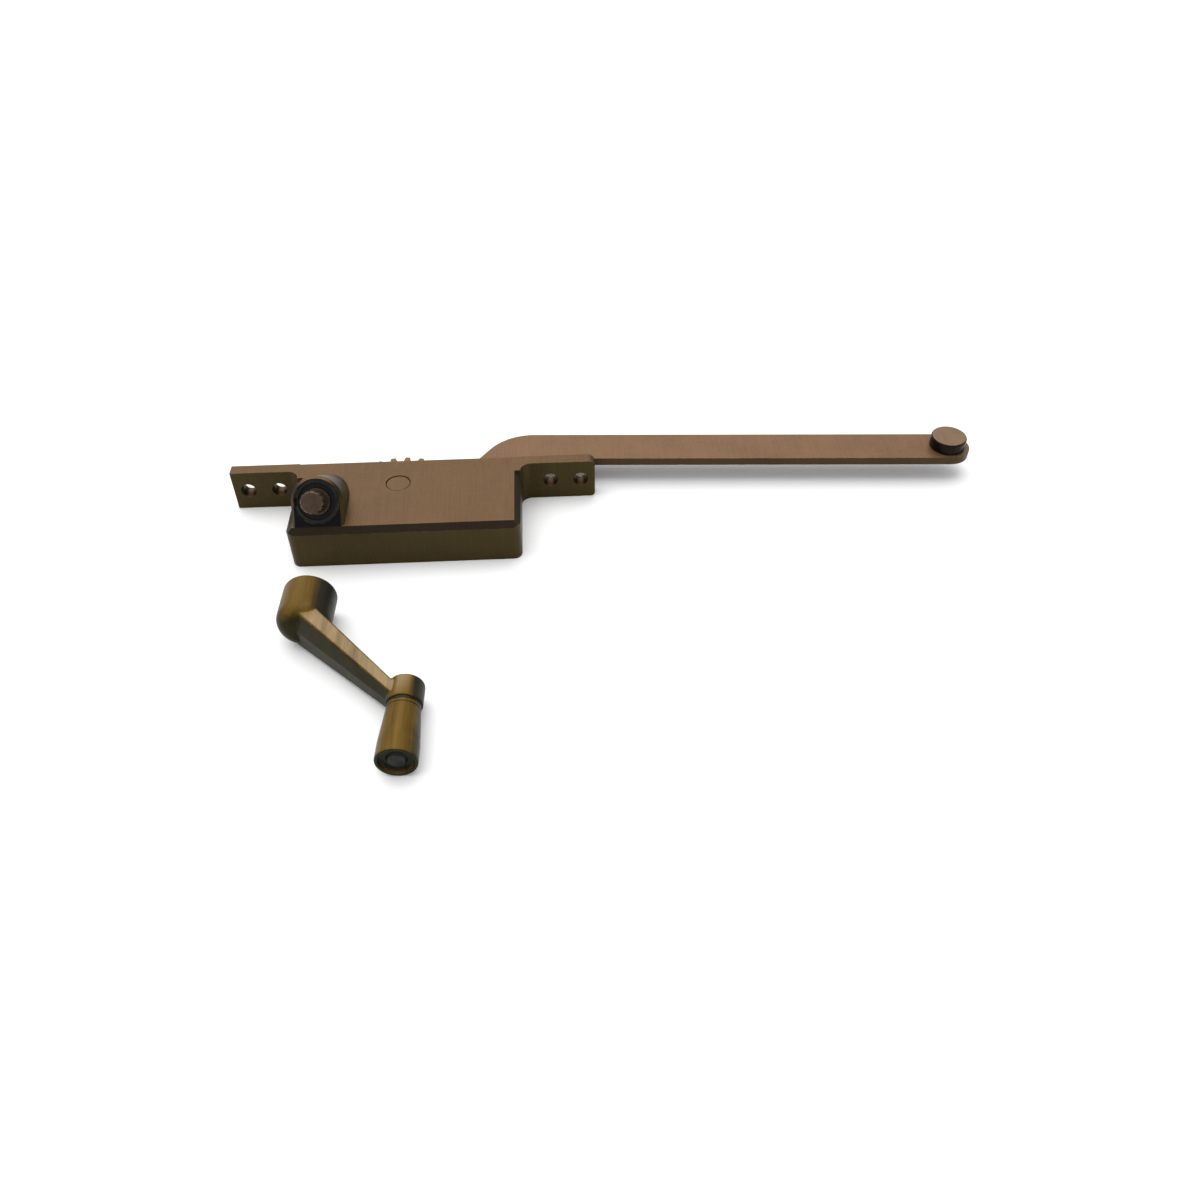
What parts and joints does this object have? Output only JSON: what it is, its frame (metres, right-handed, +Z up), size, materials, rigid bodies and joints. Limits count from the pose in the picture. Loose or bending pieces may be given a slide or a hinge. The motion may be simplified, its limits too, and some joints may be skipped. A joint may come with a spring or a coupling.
{
  "type": "casement window operator",
  "caption": "Casement window operator: a bevelled case with flange ears and an angled splined stud drives a long swing arm with a guide button; its crank handle lies beside it.",
  "frame": {"origin": "centre of the screw-hole pattern, on the mounting face of the flange", "axes": "+X along the flange towards the arm's tip, +Y out of the mounting face into the window frame, +Z up; the operator stands on its base at z = -9 mm"},
  "size_m": [0.3126, 0.1732, 0.0344],
  "materials": {
    "bronze_casting": "satin bronze paint on a die casting",
    "cover_plate": "dark bronze paint on sheet steel",
    "dark_steel": "blackened steel",
    "bronze_rivet": "bronze paint over a riveted pin",
    "plain_steel": "bright steel washer",
    "bearing_bronze": "oiled sintered bronze",
    "black_nylon": "black moulded nylon",
    "worm_steel": "machined steel with a light bronze wash",
    "bronze_arm": "satin bronze paint on a stamped steel bar",
    "bronze_button": "satin bronze button",
    "bronze_crank": "antique bronze with a soft sheen",
    "bronze_knob": "antique bronze with turned marks"
  },
  "bodies": {
    "case": {"housing": "bronze_casting", "base_plate": "cover_plate", "cover_screws": "dark_steel", "pivot_pin": "bronze_rivet", "upper_washer": "plain_steel", "lower_washer": "plain_steel", "tail_bush": "bearing_bronze", "shaft_bushing": "black_nylon", "retaining_ring": "dark_steel", "thrust_washer": "plain_steel"},
    "worm": {"worm_shaft": "worm_steel"},
    "swing_arm": {"arm": "bronze_arm", "arm_bush": "bearing_bronze"},
    "button": {"guide_button": "bronze_button", "button_washer": "dark_steel"},
    "crank": {"crank_handle": "bronze_crank", "set_screw": "dark_steel", "knob_pin": "dark_steel", "knob_washer": "dark_steel"},
    "grip": {"knob": "bronze_knob"}
  },
  "joints": [
    {"name": "arm_swing", "type": "hinge", "parent": "case", "child": "swing_arm", "pos_m": [-0.0054, -0.0153, 0], "axis": [0, 0, 1], "range_deg": [0, 95]},
    {"name": "worm_turn", "type": "hinge", "parent": "case", "child": "worm", "pos_m": [-0.0341, -0.0153, 0.00205], "axis": [0, -0.809, 0.5878], "range_deg": [-2480, 10]},
    {"name": "button_spin", "type": "hinge", "parent": "swing_arm", "child": "button", "pos_m": [0.22808, 0.0054, 0], "axis": [0, 0, 1], "continuous": true},
    {"name": "handle_lift", "type": "slide", "parent": "case", "child": "crank", "axis": [0, 0, 1], "range_m": [0, 0.1]},
    {"name": "knob_spin", "type": "hinge", "parent": "crank", "child": "grip", "pos_m": [0.00342, -0.13696, -0.0018], "axis": [-0.0349, -0.9994, 0], "continuous": true}
  ],
  "couplings": [
    {"joint": "worm_turn", "follows": "arm_swing", "ratio": -26}
  ]
}
